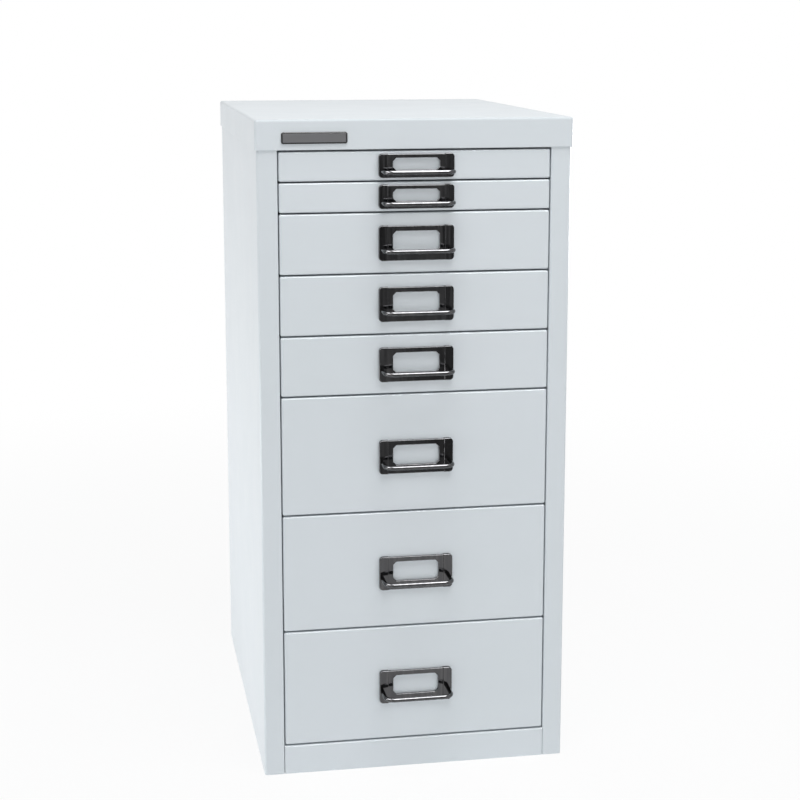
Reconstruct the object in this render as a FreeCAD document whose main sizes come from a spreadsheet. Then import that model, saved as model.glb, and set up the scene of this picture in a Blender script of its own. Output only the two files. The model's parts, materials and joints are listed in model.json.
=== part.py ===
import FreeCAD, Part
import math
import os
import re

import Sketcher

# Multi-drawer steel cabinet: a folded sheet carcass under a separate top cap,
# and eight full-width drawers that slide on channel runners. Each drawer has
# a label frame, and a fixed wire bow as its pull.
# Millimetres. The origin is the middle of the footprint on the floor, the
# drawer fronts face -Y and +Z is up.

# The driving sizes, which the spreadsheet holds.
SIZES = {
    # carcass
    "body_width": 276.4,
    "body_depth": 377.4,
    "body_sheet": 0.9,
    "corner_bend": 2.5,
    "stile_width": 18.0,
    "stile_return": 13.0,
    "stile_bend": 1.4,
    "rear_flange": 16.0,
    "rail_height": 27.2,
    "rail_lip": 7.0,
    "rail_end_gap": 0.3,
    "base_flange": 12.0,
    "head_height": 26.8,
    "head_rail_lift": 1.0,
    "upright_depth": 24.0,
    # top cap
    "cap_sheet": 1.2,
    "cap_clearance": 0.1,
    "cap_bend": 2.2,
    "cap_hem": 0.8,
    # blank badge on the cap
    "badge_width": 57.0,
    "badge_height": 10.0,
    "badge_thickness": 1.4,
    "badge_corner": 2.0,
    "badge_inset": 22.5,
    "badge_lift": 5.4,
    # drawer fronts
    "unit_height": 26.8,
    "front_gap": 1.4,
    "side_gap": 0.9,
    "front_sheet": 0.9,
    "front_bend": 1.6,
    # drawer trays
    "tray_sheet": 0.8,
    "tray_side_gap": 5.2,
    "tray_bend": 1.4,
    "tray_floor_lift": 1.0,
    "tray_top_drop": 4.2,
    "tray_rear_gap": 12.0,
    "tray_flange": 3.9,
    "flange_setback": 3.0,
    "stop_tab": 12.0,
    "drawer_travel": 290.0,
    # runners
    "runner_sheet": 0.8,
    "runner_channel": 3.0,
    "runner_ledge_gap": 0.6,
    "runner_tab_height": 12.0,
    "runner_tab_lap": 12.0,
    "running_gap": 0.3,
    # label frames
    "frame_width": 66.4,
    "frame_tall": 30.7,
    "frame_low": 20.8,
    "frame_corner": 3.2,
    "frame_thickness": 2.8,
    "frame_pad": 8.0,
    "frame_raise": 1.0,
    "frame_soften": 0.6,
    "rail_soften": 0.5,
    "frame_top_dip": 0.5,
    "deep_frame_drop": 3.0,
    "window_width": 41.4,
    "window_tall": 18.0,
    "window_low": 10.7,
    "window_rail_tall": 4.3,
    "window_rail_low": 3.2,
    "window_chamfer": 2.9,
    "card_recess": 1.0,
    "card_margin": 2.2,
    "lug_width": 3.6,
    "lug_sheet": 1.0,
    "lug_foot": 3.5,
    "lug_inset": 7.0,
    "lug_rise": 3.6,
    "lug_clearance": 0.1,
    # wire bows
    "wire_radius": 1.9,
    "bow_inset": 3.0,
    "bow_reach": 18.5,
    "bow_bend": 8.0,
    "bow_tall": 10.0,
    "bow_low": 5.8,
    "spigot_radius": 1.1,
    "rivet_radius": 1.7,
    "rivet_thickness": 0.8,
    "rivet_clearance": 0.05,
}

# Height of each drawer in units, from the top one down.
DRAWER_UNITS = (1, 1, 2, 2, 2, 4, 4, 4)
TOTAL_UNITS = sum(DRAWER_UNITS)

LEFT = -1
RIGHT = 1
# Two places closer than this are the same place.
SAME_PLACE = 0.0001

# Planes and places worked out from the driving sizes.
PLACES = {
    # across the cabinet, from its middle
    "half_body": "body_width / 2",
    "half_inside": "half_body - body_sheet",
    "half_opening": "half_body - stile_width",
    "half_back": "half_body - corner_bend",
    "half_cap": "half_body + cap_reach",
    "half_hollow": "half_body + cap_clearance",
    "half_rail": "half_opening - rail_end_gap",
    "half_front": "half_opening - side_gap",
    "half_pan": "half_front - front_sheet",
    "half_tray": "half_opening - tray_side_gap",
    "half_tray_inside": "half_tray - tray_sheet",
    "half_flange": "half_tray + tray_flange",
    "runner_ledge": "half_tray + runner_ledge_gap",
    "runner_web": "half_opening + body_sheet",
    "runner_back": "runner_web + runner_sheet",
    # along the cabinet
    "front": "-1 * body_depth / 2",
    "front_inside": "front + body_sheet",
    "return_end": "front + stile_return",
    "back": "body_depth / 2",
    "back_inside": "back - body_sheet",
    "back_skin": "back_inside - body_sheet",
    "inside_bend": "corner_bend - body_sheet",
    "rear_stop": "back_inside - max(inside_bend; body_sheet)",
    "cap_reach": "cap_clearance + cap_sheet",
    # up the cabinet
    "zone_top": "rail_height + %d * unit_height" % TOTAL_UNITS,
    "cap_bottom": "zone_top + front_gap / 2",
    "cap_top": "zone_top + head_height",
    "body_top": "cap_top - cap_sheet",
    "rail_top": "rail_height - front_gap / 2",
    # along a drawer, from the face of its front
    "pan_depth": "stile_return",
    "wall_face": "pan_depth - tray_sheet",
    "tray_rear": "body_depth - 2 * body_sheet - tray_rear_gap",
    "runner_front": "stile_return + running_gap",
    "runner_rear": "rear_stop - front",
    "stop_front": "runner_front + drawer_travel",
    "stop_end": "stop_front + stop_tab",
    "stop_edge": "runner_web - running_gap",
    "frame_face": "-1 * frame_thickness",
    "pad_face": "-1 * pad_thickness",
    "pad_thickness": "frame_thickness + frame_raise",
    # across a label frame, from its middle
    "half_frame": "frame_width / 2",
    "pad_edge": "half_frame - frame_pad",
    "half_window": "window_width / 2",
    "window_flat": "half_window - window_chamfer",
    "half_card": "half_window + card_margin",
    "lug_across": "half_frame - lug_inset",
    # a bow, from the middle of the pads' faces
    "half_bow": "half_frame - bow_inset",
    "bend_across": "half_bow - bow_bend",
    "bend_along": "bow_bend - bow_reach",
}

doc = FreeCAD.newDocument("drawer_cabinet")
sheet = doc.addObject("Spreadsheet::Sheet", "Sizes")
for row, (alias, number) in enumerate(SIZES.items(), start=1):
    sheet.set("A%d" % row, alias)
    sheet.set("B%d" % row, str(number))
    sheet.setAlias("B%d" % row, alias)
doc.recompute()

pieces = []


def expression(words):
    """The words with each place worked out and each size read from the sheet."""

    def spelled_out(match):
        word = match.group()
        if word in SIZES:
            return "Sizes." + word
        if word in PLACES:
            return "(%s)" % expression(PLACES[word])
        return word

    return re.sub(r"[a-z_]+", spelled_out, words)


def value(words):
    """The number that the words give now."""
    return float(sheet.evalExpression(expression(words)))


def on_side(side, words):
    """A distance from the middle, on the left or on the right."""
    return words if side == RIGHT else minus(words)


def minus(words):
    return "-1 * (%s)" % words


def new_piece(label):
    """A body for one sub-part."""
    piece = doc.addObject("PartDesign::Body", label)
    piece.Label = label
    pieces.append(piece)
    return piece


def new_sketch(piece, role, offset):
    """A sketch on one of the body's own origin planes, moved along its normal."""
    plane = next(item for item in piece.Origin.OriginFeatures if item.Role == role)
    sketch = piece.newObject("Sketcher::SketchObject", piece.Name + "_sketch")
    sketch.AttachmentSupport = [(plane, "")]
    sketch.MapMode = "FlatFace"
    sketch.setExpression("AttachmentOffset.Base.z", expression(offset))
    return sketch


def hold(sketch, kind, target, words):
    """One dimension of a sketch, tied to the named sizes."""
    constraint = Sketcher.Constraint(kind, *target, value(words))
    index = sketch.addConstraint(constraint)
    sketch.setExpression("Constraints[%d]" % index, expression(words))


def hold_point(sketch, geometry, position, place):
    hold(sketch, "DistanceX", (-1, 1, geometry, position), place[0])
    hold(sketch, "DistanceY", (-1, 1, geometry, position), place[1])


def flat_point(place):
    return FreeCAD.Vector(value(place[0]), value(place[1]), 0)


def draw_polygon(sketch, places):
    """A closed outline through places, each a pair of distances in words."""
    first = sketch.GeometryCount
    count = len(places)
    corners = [flat_point(place) for place in places]
    for i in range(count):
        line = Part.LineSegment(corners[i], corners[(i + 1) % count])
        sketch.addGeometry(line, False)
    for i in range(count):
        following = first + (i + 1) % count
        sketch.addConstraint(Sketcher.Constraint("Coincident", first + i, 2, following, 1))
    for i in range(count):
        hold_point(sketch, first + i, 1, places[i])


def draw_circle(sketch, place, radius):
    circle = Part.Circle(flat_point(place), FreeCAD.Vector(0, 0, 1), value(radius))
    index = sketch.addGeometry(circle, False)
    hold_point(sketch, index, 3, place)
    hold(sketch, "Radius", (index,), radius)


def rectangle(x_low, x_high, y_low, y_high):
    return [(x_low, y_low), (x_high, y_low), (x_high, y_high), (x_low, y_high)]


def centred(half, y_low, y_high):
    """A rectangle that reaches as far to the left as to the right."""
    return rectangle(minus(half), half, y_low, y_high)


def add_slab(piece, role, outlines, low, high):
    """Material between two distances along the normal axis of a plane."""
    start = minus(high) if role == "XZ_Plane" else low
    make_slab(piece, "PartDesign::Pad", new_sketch(piece, role, start), outlines, low, high)


def cut_slab(piece, role, outlines, low, high):
    """Material taken away between two distances, as add_slab adds it."""
    start = minus(low) if role == "XZ_Plane" else high
    make_slab(piece, "PartDesign::Pocket", new_sketch(piece, role, start), outlines, low, high)


def make_slab(piece, kind, sketch, outlines, low, high):
    for outline in outlines:
        if isinstance(outline, dict):
            draw_circle(sketch, outline["centre"], outline["radius"])
        else:
            draw_polygon(sketch, outline)
    before = piece.Shape.Volume if piece.Tip else 0.0
    adds = kind.endswith("Pad")
    feature = piece.newObject(kind, piece.Name + ("_pad" if adds else "_pocket"))
    feature.Profile = sketch
    feature.setExpression("Length", expression("(%s) - (%s)" % (high, low)))
    doc.recompute()
    change = piece.Shape.Volume - before
    if (change <= 0) if adds else (change >= 0):
        raise RuntimeError("%s: a slab changed nothing" % piece.Label)


def round_edges(piece, radius, chosen):
    """Round the edges that chosen(edge) picks, all with one radius."""
    names = []
    for index, edge in enumerate(piece.Shape.Edges, start=1):
        if chosen(edge):
            names.append("Edge%d" % index)
    if not names:
        raise RuntimeError("%s: no edge to round" % piece.Label)
    base = piece.Tip
    feature = piece.newObject("PartDesign::Fillet", piece.Name + "_bend")
    feature.Base = (base, names)
    feature.setExpression("Radius", expression(radius))
    doc.recompute()
    if "Invalid" in feature.State:
        raise RuntimeError("%s: an edge could not be rounded" % piece.Label)


def near(first, second):
    return abs(first - second) < SAME_PLACE


def ends(edge, axis):
    """Where an edge's ends lie along axis 0, 1 or 2."""
    return [vertex.Point[axis] for vertex in edge.Vertexes]


def along(axis, places):
    """Picks straight edges along an axis at given places of the two others."""
    spots = [(value(a), value(b)) for a, b in places]
    others = [i for i in range(3) if i != axis]

    def chosen(edge):
        if len(edge.Vertexes) != 2:
            return False
        flat = [ends(edge, i) for i in others]
        if not all(near(start, end) for start, end in flat):
            return False
        return any(near(flat[0][0], a) and near(flat[1][0], b) for a, b in spots)

    return chosen


def lying_at(axis, words):
    """Picks edges whose ends both lie at one distance along an axis."""
    level = value(words)
    return lambda edge: all(near(place, level) for place in ends(edge, axis))


def place_at(piece, y, z):
    """Puts a sub-part that was drawn about its own origin in its place."""
    piece.setExpression("Placement.Base.y", expression(y))
    piece.setExpression("Placement.Base.z", expression(z))


def make_side_panel(name, side):
    """One sheet folded into the side, the front stile and the rear flange."""
    stile_edge = on_side(side, "half_opening")
    outer = on_side(side, "half_body")
    inner = on_side(side, "half_inside")
    flange_edge = on_side(side, "half_body - rear_flange")
    return_back = on_side(side, "runner_web")
    profile = [
        (stile_edge, "return_end"),
        (stile_edge, "front"),
        (outer, "front"),
        (outer, "back"),
        (flange_edge, "back"),
        (flange_edge, "back_inside"),
        (inner, "back_inside"),
        (inner, "front_inside"),
        (return_back, "front_inside"),
        (return_back, "return_end"),
    ]
    piece = new_piece(name)
    add_slab(piece, "XY_Plane", [profile], "0", "body_top")
    outer_bends = along(2, [(outer, "front"), (outer, "back")])
    inner_bends = along(2, [(inner, "front_inside"), (inner, "back_inside")])
    round_edges(piece, "corner_bend", outer_bends)
    round_edges(piece, "inside_bend", inner_bends)
    round_edges(piece, "stile_bend", along(2, [(stile_edge, "front")]))
    round_edges(piece, "stile_bend - body_sheet", along(2, [(return_back, "front_inside")]))


def make_back_panel():
    piece = new_piece("back_panel")
    outline = centred("half_back", "0", "body_top")
    add_slab(piece, "XZ_Plane", [outline], "back_skin", "back_inside")


def make_base_panel():
    """The floor sheet with its four turned-up welding flanges."""
    notch = "return_end + rail_end_gap"
    floor = [
        (minus("half_rail"), "front_inside"),
        ("half_rail", "front_inside"),
        ("half_rail", notch),
        ("half_inside", notch),
        ("half_inside", "rear_stop"),
        (minus("half_inside"), "rear_stop"),
        (minus("half_inside"), notch),
        (minus("half_rail"), notch),
    ]
    piece = new_piece("base_panel")
    add_slab(piece, "XY_Plane", [floor], "0", "body_sheet")
    side_skin = "half_inside - body_sheet"
    flanges = [
        centred("half_rail", "front_inside", "front_inside + body_sheet"),
        centred(side_skin, "rear_stop - body_sheet", "rear_stop"),
        rectangle(side_skin, "half_inside", notch, "rear_stop"),
        rectangle(minus("half_inside"), minus(side_skin), notch, "rear_stop"),
    ]
    for flange in flanges:
        add_slab(piece, "XY_Plane", [flange], "0", "base_flange")


def make_bottom_rail():
    """The folded rail between the stiles, with a lip turned down inside."""
    lip_front = "return_end - body_sheet"
    lip_end = "rail_top - rail_lip"
    under = "rail_top - body_sheet"
    profile = [
        ("front", "0"),
        ("front", "rail_top"),
        ("return_end", "rail_top"),
        ("return_end", lip_end),
        (lip_front, lip_end),
        (lip_front, under),
        ("front_inside", under),
        ("front_inside", "0"),
    ]
    piece = new_piece("bottom_rail")
    add_slab(piece, "YZ_Plane", [profile], minus("half_rail"), "half_rail")
    outer_bends = along(0, [("front", "rail_top"), ("return_end", "rail_top")])
    inner_bends = along(0, [("front_inside", under), (lip_front, under)])
    round_edges(piece, "front_bend", outer_bends)
    round_edges(piece, "front_bend - body_sheet", inner_bends)


def make_top_rail():
    """The cross rail behind the cap's front flange, which ties the stiles."""
    bottom = "cap_bottom + head_rail_lift"
    profile = [
        ("front", bottom),
        ("return_end", bottom),
        ("return_end", bottom + " + body_sheet"),
        ("front_inside", bottom + " + body_sheet"),
        ("front_inside", "body_top - body_sheet"),
        ("return_end", "body_top - body_sheet"),
        ("return_end", "body_top"),
        ("front", "body_top"),
    ]
    piece = new_piece("top_rail")
    add_slab(piece, "YZ_Plane", [profile], minus("half_rail"), "half_rail")
    round_edges(piece, "stile_bend", along(0, [("front", bottom)]))


def make_rear_upright(name, side):
    """The channel that carries the rear ends of one side's runners."""
    inner = on_side(side, "runner_back")
    inner_skin = on_side(side, "runner_back + body_sheet")
    outer = on_side(side, "half_inside")
    outer_skin = on_side(side, "half_inside - body_sheet")
    mouth = "rear_stop - upright_depth"
    web = "rear_stop - body_sheet"
    profile = [
        (inner, mouth),
        (inner, "rear_stop"),
        (outer, "rear_stop"),
        (outer, mouth),
        (outer_skin, mouth),
        (outer_skin, web),
        (inner_skin, web),
        (inner_skin, mouth),
    ]
    piece = new_piece(name)
    add_slab(piece, "XY_Plane", [profile], "base_flange", "body_top")


def make_top_cap():
    """The cap: a shallow lid whose flanges lap the outside of the body."""
    cap_front = "front - cap_reach"
    cap_back = "back + cap_reach"
    piece = new_piece("top_cap")
    outline = centred("half_cap", cap_front, cap_back)
    add_slab(piece, "XY_Plane", [outline], "cap_bottom", "cap_top")
    corners = [
        (on_side(side, "half_cap"), depth)
        for side in (LEFT, RIGHT)
        for depth in (cap_front, cap_back)
    ]
    upright = along(2, corners)
    on_top = lying_at(2, "cap_top")
    round_edges(piece, "cap_bend", lambda edge: upright(edge) or on_top(edge))
    hollow = centred("half_hollow", "front - cap_clearance", "back + cap_clearance")
    cut_slab(piece, "XY_Plane", [hollow], "cap_bottom", "body_top")
    at_bottom = lying_at(2, "cap_bottom")
    across_limit = value("half_hollow") + SAME_PLACE
    along_limit = value("back + cap_clearance") + SAME_PLACE

    def lower_rim(edge):
        middle = edge.CenterOfMass
        outside = abs(middle.x) > across_limit or abs(middle.y) > along_limit
        return outside and at_bottom(edge)

    round_edges(piece, "cap_hem", lower_rim)


def make_badge():
    """A plain blank plate on the cap's front flange."""
    left = "badge_inset - half_cap"
    right = left + " + badge_width"
    bottom = "cap_bottom + badge_lift"
    top = bottom + " + badge_height"
    cap_face = "front - cap_reach"
    face = cap_face + " - badge_thickness"
    piece = new_piece("blank_badge")
    add_slab(piece, "XZ_Plane", [rectangle(left, right, bottom, top)], face, cap_face)
    corners = [(x, z) for x in (left, right) for z in (bottom, top)]
    round_edges(piece, "badge_corner", along(1, corners))
    round_edges(piece, "badge_thickness / 2", lying_at(1, face))


def make_runner(name, side, height, z):
    """One channel runner, open towards the drawer, with a front welding tab."""
    ledge = on_side(side, "runner_ledge")
    web = on_side(side, "runner_web")
    back = on_side(side, "runner_back")
    seat = height + " - tray_top_drop - tray_sheet - running_gap"
    bottom = seat + " - runner_sheet"
    ceiling = seat + " + runner_channel"
    top = ceiling + " + runner_sheet"
    profile = [
        (ledge, bottom),
        (back, bottom),
        (back, top),
        (ledge, top),
        (ledge, ceiling),
        (web, ceiling),
        (web, seat),
        (ledge, seat),
    ]
    piece = new_piece(name)
    add_slab(piece, "XZ_Plane", [profile], "runner_front", "runner_rear")
    middle = seat + " + runner_channel / 2"
    tab_bottom = middle + " - runner_tab_height / 2"
    tab_top = middle + " + runner_tab_height / 2"
    tab = rectangle(web, back, tab_bottom, tab_top)
    tab_front = "stile_bend + running_gap"
    tab_rear = "stile_return + runner_tab_lap"
    add_slab(piece, "XZ_Plane", [tab], tab_front, tab_rear)
    place_at(piece, "front", z)


def make_tray(name, height, z):
    """The drawer's folded box, with out-turned flanges and their stop tabs."""
    top = height + " - tray_top_drop"
    floor_top = "tray_floor_lift + tray_sheet"
    inner_rear = "tray_rear - tray_sheet"
    piece = new_piece(name)
    box = centred("half_tray", "wall_face", "tray_rear")
    add_slab(piece, "XY_Plane", [box], "tray_floor_lift", top)
    lower_edges = [(on_side(side, "half_tray"), "tray_floor_lift") for side in (LEFT, RIGHT)]
    round_edges(piece, "tray_bend", along(1, lower_edges))
    inside = centred("half_tray_inside", "pan_depth", inner_rear)
    cut_slab(piece, "XY_Plane", [inside], floor_top, top)
    wall = centred("half_pan", "front_sheet", height + " - front_sheet")
    add_slab(piece, "XZ_Plane", [wall], "wall_face", "pan_depth")
    for side in (LEFT, RIGHT):
        root = on_side(side, "half_tray_inside")
        edge = on_side(side, "half_flange")
        stop = on_side(side, "stop_edge")
        flange = [
            (root, "pan_depth + flange_setback"),
            (edge, "pan_depth + flange_setback"),
            (edge, "stop_front"),
            (stop, "stop_front"),
            (stop, "stop_end"),
            (edge, "stop_end"),
            (edge, "tray_rear"),
            (root, "tray_rear"),
        ]
        add_slab(piece, "XY_Plane", [flange], top + " - tray_sheet", top)
    place_at(piece, "front", z)


def frame_layout(units, height):
    """Heights on one drawer front of its label frame, window and bow."""
    size = "low" if units == 1 else "tall"
    drop = "deep_frame_drop" if units == max(DRAWER_UNITS) else "0"
    bottom = "(%s - frame_%s) / 2 - %s" % (height, size, drop)
    top = "%s + frame_%s" % (bottom, size)
    rail_edge = top + " - frame_top_dip"
    window_top = "%s - window_rail_%s" % (rail_edge, size)
    return {
        "bottom": bottom,
        "top": top,
        "rail_edge": rail_edge,
        "window_top": window_top,
        "window_bottom": "%s - window_%s" % (window_top, size),
        "bow": "%s + bow_%s" % (bottom, size),
    }


def lug_places(layout):
    """The four lugs' heights and sides."""
    for height in (layout["bottom"] + " + lug_rise", layout["top"] + " - lug_rise"):
        for side in (LEFT, RIGHT):
            yield height, side


def lug_outline(height, side, above, below, spare):
    """A rectangle about a lug's middle, spare wider all round than stated."""
    centre = on_side(side, "lug_across")
    return rectangle(
        "%s - lug_width / 2 - %s" % (centre, spare),
        "%s + lug_width / 2 + %s" % (centre, spare),
        "%s - %s - %s" % (height, below, spare),
        "%s + %s + %s" % (height, above, spare),
    )


def make_front(name, height, layout, z):
    """The drawer's front, a folded pan with slots for the frame's lugs."""
    piece = new_piece(name)
    outline = centred("half_front", "0", height)
    add_slab(piece, "XZ_Plane", [outline], "0", "pan_depth")
    open_rim = lying_at(1, "pan_depth")
    round_edges(piece, "front_bend", lambda edge: not open_rim(edge))
    hollow = centred("half_pan", "front_sheet", height + " - front_sheet")
    cut_slab(piece, "XZ_Plane", [hollow], "front_sheet", "pan_depth")
    slots = [
        lug_outline(up, side, "lug_sheet / 2", "lug_sheet / 2", "lug_clearance")
        for up, side in lug_places(layout)
    ]
    cut_slab(piece, "XZ_Plane", slots, "0", "front_sheet")
    place_at(piece, "front", z)


def make_label_frame(name, layout, z):
    """The label frame: an eight-sided window between two raised pads."""
    bottom = layout["bottom"]
    top = layout["top"]
    rail_edge = layout["rail_edge"]
    piece = new_piece(name)
    outline = [
        (minus("half_frame"), bottom),
        ("half_frame", bottom),
        ("half_frame", top),
        ("pad_edge", top),
        ("pad_edge", rail_edge),
        (minus("pad_edge"), rail_edge),
        (minus("pad_edge"), top),
        (minus("half_frame"), top),
    ]
    add_slab(piece, "XZ_Plane", [outline], "frame_face", "0")
    pads = [
        rectangle("pad_edge", "half_frame", bottom, top),
        rectangle(minus("half_frame"), minus("pad_edge"), bottom, top),
    ]
    add_slab(piece, "XZ_Plane", pads, "pad_face", "0")
    corners = [
        (on_side(side, "half_frame"), height)
        for side in (LEFT, RIGHT)
        for height in (bottom, top)
    ]
    round_edges(piece, "frame_corner", along(1, corners))
    round_edges(piece, "frame_soften", lying_at(1, "pad_face"))
    cut_window(piece, layout)
    soften_rails(piece)
    card = centred("half_card", layout["window_bottom"] + " - card_margin", top)
    cut_slab(piece, "XZ_Plane", [card], minus("card_recess"), "0")
    bore_rivet_holes(piece, layout["bow"])
    add_lugs(piece, layout)
    place_at(piece, "front", z)


def cut_window(piece, layout):
    high = layout["window_top"]
    low = layout["window_bottom"]
    high_corner = high + " - window_chamfer"
    low_corner = low + " + window_chamfer"
    window = [
        (minus("window_flat"), low),
        ("window_flat", low),
        ("half_window", low_corner),
        ("half_window", high_corner),
        ("window_flat", high),
        (minus("window_flat"), high),
        (minus("half_window"), high_corner),
        (minus("half_window"), low_corner),
    ]
    cut_slab(piece, "XZ_Plane", [window], "frame_face", "0")


def soften_rails(piece):
    """Rounds the rails' front edges, but not the lines where pads rise."""
    on_face = lying_at(1, "frame_face")
    step = value("pad_edge")

    def rail_edge(edge):
        at_pad = all(near(abs(place), step) for place in ends(edge, 0))
        return on_face(edge) and not (at_pad and near(*ends(edge, 0)))

    round_edges(piece, "rail_soften", rail_edge)


def bore_rivet_holes(piece, height):
    """Holes through the pads for the bow's spigots, wider behind for rivets."""
    hole = "spigot_radius + rivet_clearance"
    seat = "rivet_radius + rivet_clearance"
    cut_slab(piece, "XZ_Plane", bow_ends(height, hole), "pad_face", "0")
    cut_slab(piece, "XZ_Plane", bow_ends(height, seat), minus("rivet_thickness"), "0")


def bow_ends(height, radius):
    """A circle about each end of the bow."""
    return [
        {"centre": (on_side(side, "half_bow"), height), "radius": radius}
        for side in (LEFT, RIGHT)
    ]


def add_lugs(piece, layout):
    """Lugs that pass through the front's slots, with their clinched feet."""
    for up, side in lug_places(layout):
        lug = lug_outline(up, side, "lug_sheet / 2", "lug_sheet / 2", "0")
        foot = lug_outline(up, side, "lug_foot", "lug_sheet / 2", "0")
        foot_back = "front_sheet + lug_sheet"
        add_slab(piece, "XZ_Plane", [lug], "frame_face", foot_back)
        add_slab(piece, "XZ_Plane", [foot], "front_sheet", foot_back)


def make_pull(name, layout, z):
    """The wire bow, with spigots that are riveted over behind the pads."""
    bar = minus("bow_reach")
    lines = [
        ((minus("half_bow"), "0"), (minus("half_bow"), "bend_along")),
        ((minus("bend_across"), bar), ("bend_across", bar)),
        (("half_bow", "bend_along"), ("half_bow", "0")),
    ]
    quarter = math.pi / 2
    arcs = [
        ((minus("bend_across"), "bend_along"), "bow_bend", 2 * quarter),
        (("bend_across", "bend_along"), "bow_bend", 3 * quarter),
    ]
    piece = new_piece(name)
    path = new_sketch(piece, "XY_Plane", "0")
    draw_wire_path(path, lines, arcs)
    ring = new_sketch(piece, "XZ_Plane", "0")
    draw_circle(ring, (minus("half_bow"), "0"), "wire_radius")
    doc.recompute()
    wire = piece.newObject("PartDesign::AdditivePipe", name + "_wire")
    wire.Profile = ring
    count = len(lines) + len(arcs)
    wire.Spine = (path, ["Edge%d" % number for number in range(1, count + 1)])
    doc.recompute()
    head = "pad_thickness - rivet_thickness"
    add_slab(piece, "XZ_Plane", bow_ends("0", "spigot_radius"), "0", head)
    add_slab(piece, "XZ_Plane", bow_ends("0", "rivet_radius"), head, "pad_thickness")
    place_at(piece, "front + pad_face", "%s + %s" % (z, layout["bow"]))


def draw_wire_path(path, lines, arcs):
    """Straight runs, each joined to the next by a tangent quarter turn."""
    up = FreeCAD.Vector(0, 0, 1)
    for i, (start, end) in enumerate(lines):
        path.addGeometry(Part.LineSegment(flat_point(start), flat_point(end)), False)
        hold_point(path, 2 * i, 1, start)
        hold_point(path, 2 * i, 2, end)
        if i < len(arcs):
            centre, radius, begin = arcs[i]
            circle = Part.Circle(flat_point(centre), up, value(radius))
            arc = Part.ArcOfCircle(circle, begin, begin + math.pi / 2)
            path.addGeometry(arc, False)
    for i, (centre, radius, begin) in enumerate(arcs):
        arc = 2 * i + 1
        meeting = path.getPoint(arc - 1, 2)
        in_order = path.getPoint(arc, 1).distanceToPoint(meeting) < SAME_PLACE
        first, last = (1, 2) if in_order else (2, 1)
        path.addConstraint(Sketcher.Constraint("Coincident", arc - 1, 2, arc, first))
        path.addConstraint(Sketcher.Constraint("Coincident", arc + 1, 1, arc, last))
        hold(path, "Radius", (arc,), radius)


def make_drawer(number, units, units_below):
    """One drawer with its two runners, its label frame and its pull."""
    height = "%d * unit_height - front_gap" % units
    z = "rail_height + %d * unit_height + front_gap / 2" % units_below
    layout = frame_layout(units, height)
    drawer = "drawer_%d" % number
    make_runner("runner_%d_left" % number, LEFT, height, z)
    make_runner("runner_%d_right" % number, RIGHT, height, z)
    make_tray(drawer + "_tray", height, z)
    make_front(drawer + "_front", height, layout, z)
    make_label_frame(drawer + "_label_frame", layout, z)
    make_pull(drawer + "_pull", layout, z)


make_side_panel("side_panel_left", LEFT)
make_side_panel("side_panel_right", RIGHT)
make_back_panel()
make_base_panel()
make_bottom_rail()
make_top_rail()
make_rear_upright("rear_upright_left", LEFT)
make_rear_upright("rear_upright_right", RIGHT)
make_top_cap()
make_badge()
for index, units in enumerate(DRAWER_UNITS):
    make_drawer(index + 1, units, sum(DRAWER_UNITS[index + 1 :]))

doc.recompute()
for item in doc.Objects:
    if "Invalid" in item.State or "Error" in item.State:
        raise RuntimeError("%s did not recompute" % item.Label)
for piece in pieces:
    shape = piece.Shape
    if shape.isNull() or not shape.isValid() or len(shape.Solids) != 1:
        raise RuntimeError("%s is not one valid solid" % piece.Label)

os.makedirs("parts", exist_ok=True)
for piece in pieces:
    piece.Shape.exportStep(os.path.join("parts", piece.Label + ".step"))
print("%d sub-parts written" % len(pieces))
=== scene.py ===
import json
import math

import bpy
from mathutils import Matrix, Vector


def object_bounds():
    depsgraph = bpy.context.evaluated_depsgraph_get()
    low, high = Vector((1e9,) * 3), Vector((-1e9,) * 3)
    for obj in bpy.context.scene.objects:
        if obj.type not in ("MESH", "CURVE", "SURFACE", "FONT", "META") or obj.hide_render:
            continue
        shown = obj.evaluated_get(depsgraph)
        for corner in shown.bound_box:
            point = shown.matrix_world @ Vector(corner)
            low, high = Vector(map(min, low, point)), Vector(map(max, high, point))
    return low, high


# Looks, light and camera for the multi-drawer steel cabinet. Metres, in the
# cabinet's own frame: the floor is z = 0 and the drawer fronts face -Y.

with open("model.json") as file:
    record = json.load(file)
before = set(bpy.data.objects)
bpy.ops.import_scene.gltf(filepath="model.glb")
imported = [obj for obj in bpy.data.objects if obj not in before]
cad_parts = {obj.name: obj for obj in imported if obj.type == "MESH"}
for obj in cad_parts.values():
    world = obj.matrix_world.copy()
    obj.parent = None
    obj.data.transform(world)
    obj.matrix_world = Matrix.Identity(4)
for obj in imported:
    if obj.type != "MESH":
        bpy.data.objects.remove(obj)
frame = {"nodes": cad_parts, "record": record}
cad_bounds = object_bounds()
cabinet_low, cabinet_high = cad_bounds

# Colours as they are written for the eye, from 0 to 1.
PAINT_COLOUR = (0.843, 0.868, 0.886)
PAINT_CLOUD_COLOUR = (0.837, 0.864, 0.880)
PULL_COLOUR = (0.320, 0.320, 0.326)
# Lighter grey of the painted reflection streaks that run upright on the label frames and bows.
PULL_PAINTED_REFLECTION_COLOUR = (0.370, 0.368, 0.372)
ZINC_COLOUR = (0.780, 0.790, 0.800)
ZINC_DARK_COLOUR = (0.660, 0.675, 0.690)
BADGE_RIM_COLOUR = (0.085, 0.085, 0.090)
BADGE_FACE_COLOUR = (0.400, 0.402, 0.410)
WHITE = (1.0, 1.0, 1.0)
FLOOR_COLOUR = (0.905, 0.908, 0.912)

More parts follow.
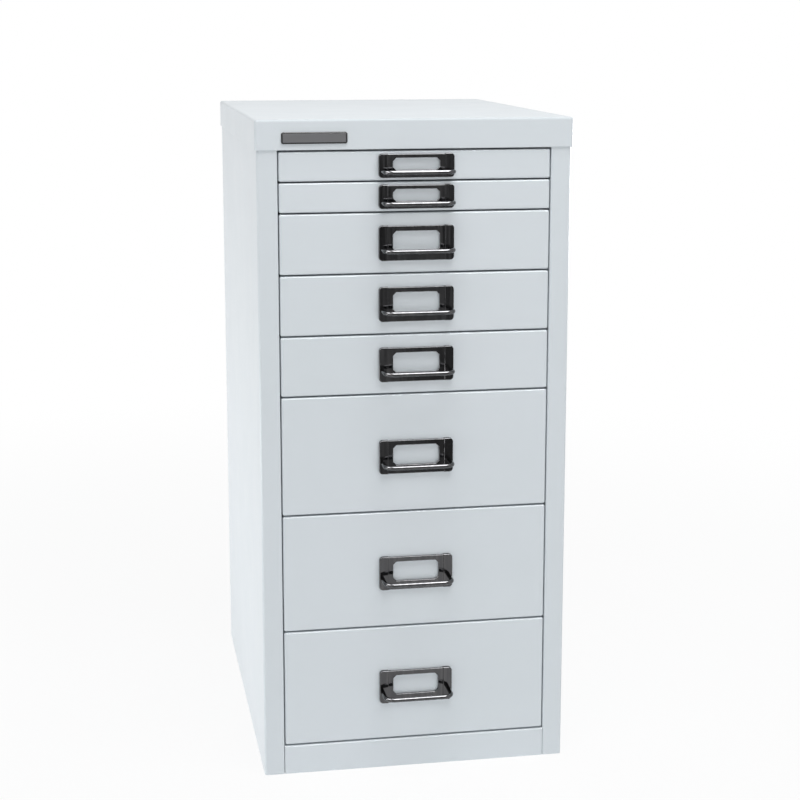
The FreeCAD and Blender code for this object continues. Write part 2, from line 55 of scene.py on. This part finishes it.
# Each lamp: name, place, the point that it looks at, width, height and watts.
CABINET_MIDDLE = tuple((cabinet_low + cabinet_high) / 2)
LOW_ON_LEFT = (-cabinet_high.x, 0.0, 0.05)
SOFTBOXES = (
    ("overhead_softbox", (0.1, -0.75, 2.2), CABINET_MIDDLE, 1.8, 1.0, 29.0),
    ("front_softbox", (0.4, -2.3, 0.30), (0.0, -0.19, 0.10), 1.8, 1.1, 14.5),
    ("left_softbox", (-1.0, 0.05, 0.10), LOW_ON_LEFT, 1.0, 0.16, 4.8),
    ("rear_softbox", (1.7, 1.7, 0.34), (0.0, 0.0, 0.34), 1.6, 0.4, 34.0),
)

# Each studio card: name, its reach across, along and up, and two strengths.
CARDS = (
    ("overhead_card", (-0.3, 1.0), (-2.0, 0.8), (2.0, 2.0), (15.0, 15.0)),
    ("left_card", (-2.4, -1.0), (-1.2, 0.8), (2.0, 2.0), (15.0, 15.0)),
    ("dark_card", (-0.5, 1.0), (-1.15, -1.15), (0.0, 0.85), (0.06, 0.45)),
)
CARD_BAND_SCALE = 22.0
CARD_BAND_STRETCH = (1.0, 0.0, 0.15)

# Ends of the names of the pieces that the cards show in.
CARD_RECEIVERS = ("_pull", "_label_frame", "_front", "_badge", "bottom_rail")

# Camera, fitted to the corners and gaps of the cabinet in the photograph.
CAMERA_PLACE = (-0.278, -1.661, 0.669)
CAMERA_PITCH_DEGREES = 10.31
CAMERA_YAW_DEGREES = 10.16
SENSOR_WIDTH = 36.0
LENS_IN_IMAGE_WIDTHS = 1733.0 / 800.0
LENS_SHIFT_UP = -0.075

# Noise sizes, in features to a metre.
CLOUD_SCALE = 5.0
SMEAR_SCALE = 24.0
PEEL_SCALE = 260.0
# The size of the painted reflection streaks on the pull metal comes next.
REFLECTION_STREAK_SCALE = 330.0
HAZE_SCALE = 420.0
FLOW_SCALE = 260.0
ROLLED_SCALE = 700.0
PATCH_SCALE = 60.0
SATIN_SCALE = 1800.0

# Depths of the bumps, in metres.
PEEL_DEPTH = 0.00003
FLOW_DEPTH = 0.00008
ROLLED_DEPTH = 0.00002
BADGE_RIM_DEPTH = 0.0002
SATIN_DEPTH = 0.00001

# Noise stretched along the upright and along the depth of the cabinet.
ALONG_UPRIGHT = (1.0, 1.0, 0.06)
ALONG_DEPTH = (1.0, 0.03, 1.0)

# Strengths of the even light on the object and of the white that is seen.
WORLD_LIGHT = 0.31
SEEN_WHITE = 1.0

FLOOR_HALF = 6.0
FLOOR_SHADOW_REACH = 0.55
FLOOR_FADE_END = 1.5
FLOOR_NEAR_WHITE_SHARE = 0.90


def eye_to_linear(colour):
    """A colour written for the eye as the light that it stands for."""
    linear = []
    for part in colour:
        if part <= 0.04045:
            linear.append(part / 12.92)
        else:
            linear.append(((part + 0.055) / 1.055) ** 2.4)
    return (*linear, 1.0)


class Shader:
    """The node tree of one material, with short ways to add to it."""

    def __init__(self, name):
        self.material = bpy.data.materials.new(name)
        self.material.use_nodes = True
        self.tree = self.material.node_tree
        self.tree.nodes.clear()
        self.surface = self.add("ShaderNodeBsdfPrincipled")
        output = self.add("ShaderNodeOutputMaterial")
        self.link(self.surface.outputs["BSDF"], output.inputs["Surface"])
        place = self.add("ShaderNodeTexCoord")
        self.place = place.outputs["Object"]
        self.share = place.outputs["Generated"]

    def add(self, kind, **settings):
        node = self.tree.nodes.new(kind)
        for name, setting in settings.items():
            setattr(node, name, setting)
        return node

    def link(self, source, target):
        self.tree.links.new(source, target)

    def set(self, **values):
        """Sets the surface shader's own sockets."""
        for name, number in values.items():
            self.surface.inputs[name.replace("_", " ")].default_value = number

    def noise(self, scale, detail=2.0, roughness=0.5, stretch=None):
        """Noise from 0 to 1 at so many features in a metre."""
        node = self.add("ShaderNodeTexNoise")
        node.inputs["Scale"].default_value = scale
        node.inputs["Detail"].default_value = detail
        node.inputs["Roughness"].default_value = roughness
        source = self.place
        if stretch is not None:
            mapping = self.add("ShaderNodeMapping")
            mapping.inputs["Scale"].default_value = stretch
            self.link(self.place, mapping.inputs["Vector"])
            source = mapping.outputs["Vector"]
        self.link(source, node.inputs["Vector"])
        return node.outputs["Fac"]

    def spread(self, source, low_in, high_in, low_out, high_out):
        """Maps one range of numbers to another and keeps it in that range."""
        node = self.add("ShaderNodeMapRange", clamp=True)
        node.inputs["From Min"].default_value = low_in
        node.inputs["From Max"].default_value = high_in
        node.inputs["To Min"].default_value = low_out
        node.inputs["To Max"].default_value = high_out
        self.link(source, node.inputs["Value"])
        return node.outputs["Result"]

    def mix_colours(self, factor, first, second):
        node = self.add("ShaderNodeMix", data_type="RGBA")
        self.link(factor, node.inputs["Factor"])
        for socket, colour in (("A", first), ("B", second)):
            target = [s for s in node.inputs if s.name == socket and s.type == "RGBA"][0]
            if isinstance(colour, tuple):
                target.default_value = eye_to_linear(colour)
            else:
                self.link(colour, target)
        return [s for s in node.outputs if s.type == "RGBA"][0]

    def calculate(self, operation, first, second):
        node = self.add("ShaderNodeMath", operation=operation)
        for target, number in zip(node.inputs, (first, second)):
            if isinstance(number, float):
                target.default_value = number
            else:
                self.link(number, target)
        return node.outputs["Value"]

    def bump(self, height, depth, strength=1.0, under=None):
        """Raises the surface by height, from 0 to 1, times depth in metres."""
        node = self.add("ShaderNodeBump")
        node.inputs["Distance"].default_value = depth
        node.inputs["Strength"].default_value = strength
        self.link(height, node.inputs["Height"])
        if under is not None:
            self.link(under, node.inputs["Normal"])
        return node.outputs["Normal"]


def make_paint(name):
    """Pale grey powder coat: faint orange peel and barely uneven colour."""
    shader = Shader(name)
    cloud = shader.spread(shader.noise(CLOUD_SCALE, detail=3.0), 0.35, 0.65, 0.0, 1.0)
    colour = shader.mix_colours(cloud, PAINT_COLOUR, PAINT_CLOUD_COLOUR)
    shader.link(colour, shader.surface.inputs["Base Color"])
    smear = shader.noise(SMEAR_SCALE, detail=4.0, roughness=0.6)
    gloss = shader.spread(smear, 0.3, 0.7, 0.30, 0.37)
    shader.link(gloss, shader.surface.inputs["Roughness"])
    waves = shader.noise(PEEL_SCALE, detail=1.0)
    peel = shader.bump(waves, PEEL_DEPTH, strength=0.4)
    shader.link(peel, shader.surface.inputs["Normal"])
    shader.set(IOR=1.5, Specular_IOR_Level=0.25)
    return shader.material


def make_pull_metal(name):
    """Dark bright-plated metal of the label frames and bows, with painted reflection streaks in
    soft upright bands of lighter colour.
    """
    shader = Shader(name)
    # Upright streaks of lighter base colour: painted reflections of the surroundings in the
    # pads.
    reflection_streaks = shader.noise(REFLECTION_STREAK_SCALE, detail=2.0, stretch=ALONG_UPRIGHT)
    painted_reflection_share = shader.spread(reflection_streaks, 0.46, 0.68, 0.0, 1.0)
    colour = shader.mix_colours(painted_reflection_share, PULL_COLOUR, PULL_PAINTED_REFLECTION_COLOUR)
    shader.link(colour, shader.surface.inputs["Base Color"])
    haze = shader.spread(shader.noise(HAZE_SCALE, detail=2.0), 0.3, 0.7, 0.04, 0.09)
    shader.link(haze, shader.surface.inputs["Roughness"])
    flow = shader.noise(FLOW_SCALE, detail=1.5, stretch=ALONG_UPRIGHT)
    shader.link(shader.bump(flow, FLOW_DEPTH, strength=0.7), shader.surface.inputs["Normal"])
    shader.set(Metallic=1.0)
    return shader.material


def make_zinc(name):
    """Zinc-plated strip of the runners, with a faint rolled grain."""
    shader = Shader(name)
    grain = shader.noise(ROLLED_SCALE, detail=2.0, stretch=ALONG_DEPTH)
    patches = shader.spread(shader.noise(PATCH_SCALE, detail=2.0), 0.35, 0.65, 0.0, 1.0)
    colour = shader.mix_colours(patches, ZINC_COLOUR, ZINC_DARK_COLOUR)
    shader.link(colour, shader.surface.inputs["Base Color"])
    dull = shader.spread(grain, 0.3, 0.7, 0.32, 0.46)
    shader.link(dull, shader.surface.inputs["Roughness"])
    shader.link(shader.bump(grain, ROLLED_DEPTH, strength=0.5), shader.surface.inputs["Normal"])
    shader.set(Metallic=1.0)
    return shader.material


def make_badge_finish(name):
    """A satin grey face inside a black moulded rim, with nothing on it."""
    shader = Shader(name)
    parts = shader.add("ShaderNodeSeparateXYZ")
    shader.link(shader.share, parts.inputs["Vector"])
    rim_share_across, rim_share_up, rim_soft_share = 0.020, 0.115, 0.010
    masks = []
    for axis, rim in (("X", rim_share_across), ("Z", rim_share_up)):
        middle = shader.calculate("SUBTRACT", parts.outputs[axis], 0.5)
        away = shader.calculate("ABSOLUTE", middle, 0.0)
        edge = 0.5 - rim
        masks.append(shader.spread(away, edge - rim_soft_share, edge, 1.0, 0.0))
    face = shader.calculate("MULTIPLY", masks[0], masks[1])
    colour = shader.mix_colours(face, BADGE_RIM_COLOUR, BADGE_FACE_COLOUR)
    shader.link(colour, shader.surface.inputs["Base Color"])
    grain = shader.noise(SATIN_SCALE, detail=2.0)
    satin = shader.spread(grain, 0.3, 0.7, 0.30, 0.42)
    shader.link(satin, shader.surface.inputs["Roughness"])
    step = shader.bump(face, BADGE_RIM_DEPTH, strength=0.8)
    skin = shader.bump(grain, SATIN_DEPTH, strength=0.6, under=step)
    shader.link(skin, shader.surface.inputs["Normal"])
    return shader.material


def dress_nodes():
    """Gives every CAD node the finish of its record slot."""
    finishes = {
        "carcass_paint": make_paint("carcass_powder_coat"),
        "drawer_paint": make_paint("drawer_powder_coat"),
        "pull_metal": make_pull_metal("dark_plated_metal"),
        "badge_plate": make_badge_finish("blank_badge_finish"),
        "runner_steel": make_zinc("zinc_plated_strip"),
    }
    for part in frame["record"]["subparts"]:
        piece = frame["nodes"][part["node"]]
        piece.data.materials.clear()
        piece.data.materials.append(finishes[part["material_slot"]])


def seen_rays(nodes, links):
    """One for rays that show a background: camera, glossy and transmission."""
    path = nodes.new("ShaderNodeLightPath")
    total = path.outputs["Is Camera Ray"]
    for name in ("Is Glossy Ray", "Is Transmission Ray"):
        largest = nodes.new("ShaderNodeMath")
        largest.operation = "MAXIMUM"
        links.new(total, largest.inputs[0])
        links.new(path.outputs[name], largest.inputs[1])
        total = largest.outputs["Value"]
    return total


def make_world():
    """Even pale light, and a white background where it is seen."""
    world = bpy.data.worlds.new("studio")
    bpy.context.scene.world = world
    world.use_nodes = True
    nodes, links = world.node_tree.nodes, world.node_tree.links
    nodes.clear()
    output = nodes.new("ShaderNodeOutputWorld")
    seen = nodes.new("ShaderNodeBackground")
    seen.inputs["Color"].default_value = (*WHITE, 1.0)
    seen.inputs["Strength"].default_value = SEEN_WHITE
    lit = nodes.new("ShaderNodeBackground")
    lit.inputs["Color"].default_value = (*WHITE, 1.0)
    lit.inputs["Strength"].default_value = WORLD_LIGHT
    mix = nodes.new("ShaderNodeMixShader")
    links.new(seen_rays(nodes, links), mix.inputs["Fac"])
    links.new(lit.outputs["Background"], mix.inputs[1])
    links.new(seen.outputs["Background"], mix.inputs[2])
    links.new(mix.outputs["Shader"], output.inputs["Surface"])


def make_floor():
    """A plain pale floor that keeps a soft shadow and fades to white."""
    half = FLOOR_HALF
    mesh = bpy.data.meshes.new("floor")
    corners = [(-half, -half, 0), (half, -half, 0), (half, half, 0), (-half, half, 0)]
    mesh.from_pydata(corners, [], [(0, 1, 2, 3)])
    floor = bpy.data.objects.new("floor", mesh)
    bpy.context.scene.collection.objects.link(floor)
    material = bpy.data.materials.new("floor_paper")
    material.use_nodes = True
    nodes, links = material.node_tree.nodes, material.node_tree.links
    nodes.clear()
    output = nodes.new("ShaderNodeOutputMaterial")
    paper = nodes.new("ShaderNodeBsdfDiffuse")
    paper.inputs["Color"].default_value = eye_to_linear(FLOOR_COLOUR)
    glow = nodes.new("ShaderNodeEmission")
    glow.inputs["Color"].default_value = (*WHITE, 1.0)
    glow.inputs["Strength"].default_value = SEEN_WHITE
    place = nodes.new("ShaderNodeTexCoord")
    distance = nodes.new("ShaderNodeVectorMath")
    distance.operation = "LENGTH"
    links.new(place.outputs["Object"], distance.inputs[0])
    fade = nodes.new("ShaderNodeMapRange")
    fade.interpolation_type = "SMOOTHSTEP"
    fade.inputs["From Min"].default_value = FLOOR_SHADOW_REACH
    fade.inputs["From Max"].default_value = FLOOR_FADE_END
    fade.inputs["To Min"].default_value = FLOOR_NEAR_WHITE_SHARE
    fade.inputs["To Max"].default_value = 1.0
    links.new(distance.outputs["Value"], fade.inputs["Value"])
    share = nodes.new("ShaderNodeMath")
    share.operation = "MULTIPLY"
    links.new(seen_rays(nodes, links), share.inputs[0])
    links.new(fade.outputs["Result"], share.inputs[1])
    mix = nodes.new("ShaderNodeMixShader")
    links.new(share.outputs["Value"], mix.inputs["Fac"])
    links.new(paper.outputs["BSDF"], mix.inputs[1])
    links.new(glow.outputs["Emission"], mix.inputs[2])
    links.new(mix.outputs["Shader"], output.inputs["Surface"])
    mesh.materials.append(material)


def make_card(name, across, along, up, strengths):
    """A studio card that shows only in glossy surfaces of some pieces.

    It reaches from one place to another across, along and up, and its
    strength varies between two values from side to side.
    """
    left, right = across
    front, back = along
    low, high = up
    corners = [(left, front, low), (right, front, low), (right, back, high), (left, back, high)]
    mesh = bpy.data.meshes.new(name)
    mesh.from_pydata(corners, [], [(0, 1, 2, 3)])
    card = bpy.data.objects.new(name, mesh)
    bpy.context.scene.collection.objects.link(card)
    mesh.materials.append(make_card_glow(name, strengths))
    card.visible_camera = False
    card.visible_diffuse = False
    card.visible_transmission = False
    card.visible_volume_scatter = False
    card.visible_shadow = False
    receivers = bpy.data.collections.new(name + "_receivers")
    for node, piece in frame["nodes"].items():
        if node.endswith(CARD_RECEIVERS):
            receivers.objects.link(piece)
    card.light_linking.receiver_collection = receivers


def make_card_glow(name, strengths):
    """Light in soft upright bands, between the two strengths."""
    material = bpy.data.materials.new(name)
    material.use_nodes = True
    nodes, links = material.node_tree.nodes, material.node_tree.links
    nodes.clear()
    output = nodes.new("ShaderNodeOutputMaterial")
    glow = nodes.new("ShaderNodeEmission")
    glow.inputs["Color"].default_value = (*WHITE, 1.0)
    place = nodes.new("ShaderNodeTexCoord")
    stretch = nodes.new("ShaderNodeMapping")
    stretch.inputs["Scale"].default_value = CARD_BAND_STRETCH
    links.new(place.outputs["Object"], stretch.inputs["Vector"])
    bands = nodes.new("ShaderNodeTexNoise")
    bands.inputs["Scale"].default_value = CARD_BAND_SCALE
    bands.inputs["Detail"].default_value = 2.0
    links.new(stretch.outputs["Vector"], bands.inputs["Vector"])
    level = nodes.new("ShaderNodeMapRange")
    level.inputs["From Min"].default_value = 0.35
    level.inputs["From Max"].default_value = 0.65
    level.inputs["To Min"].default_value = strengths[0]
    level.inputs["To Max"].default_value = strengths[1]
    links.new(bands.outputs["Fac"], level.inputs["Value"])
    links.new(level.outputs["Result"], glow.inputs["Strength"])
    links.new(glow.outputs["Emission"], output.inputs["Surface"])
    return material


def make_softbox(name, place, target, width, height, watts):
    """A rectangular lamp that looks at a target."""
    lamp = bpy.data.lights.new(name, "AREA")
    lamp.shape = "RECTANGLE"
    lamp.size = width
    lamp.size_y = height
    lamp.energy = watts
    lamp.color = WHITE
    softbox = bpy.data.objects.new(name, lamp)
    softbox.location = place
    aim = Vector(target) - Vector(place)
    softbox.rotation_euler = aim.to_track_quat("-Z", "Y").to_euler()
    bpy.context.scene.collection.objects.link(softbox)


def make_lights():
    for softbox in SOFTBOXES:
        make_softbox(*softbox)
    for card in CARDS:
        make_card(*card)


def make_camera():
    camera_data = bpy.data.cameras.new("camera")
    camera_data.sensor_width = SENSOR_WIDTH
    camera_data.lens = SENSOR_WIDTH * LENS_IN_IMAGE_WIDTHS
    camera_data.shift_y = LENS_SHIFT_UP
    camera = bpy.data.objects.new("camera", camera_data)
    camera.location = CAMERA_PLACE
    tilt = math.radians(90.0 - CAMERA_PITCH_DEGREES)
    camera.rotation_euler = (tilt, 0.0, -math.radians(CAMERA_YAW_DEGREES))
    bpy.context.scene.collection.objects.link(camera)
    bpy.context.scene.camera = camera


dress_nodes()
make_world()
make_floor()
make_lights()
make_camera()
bpy.context.scene.view_settings.view_transform = "Standard"
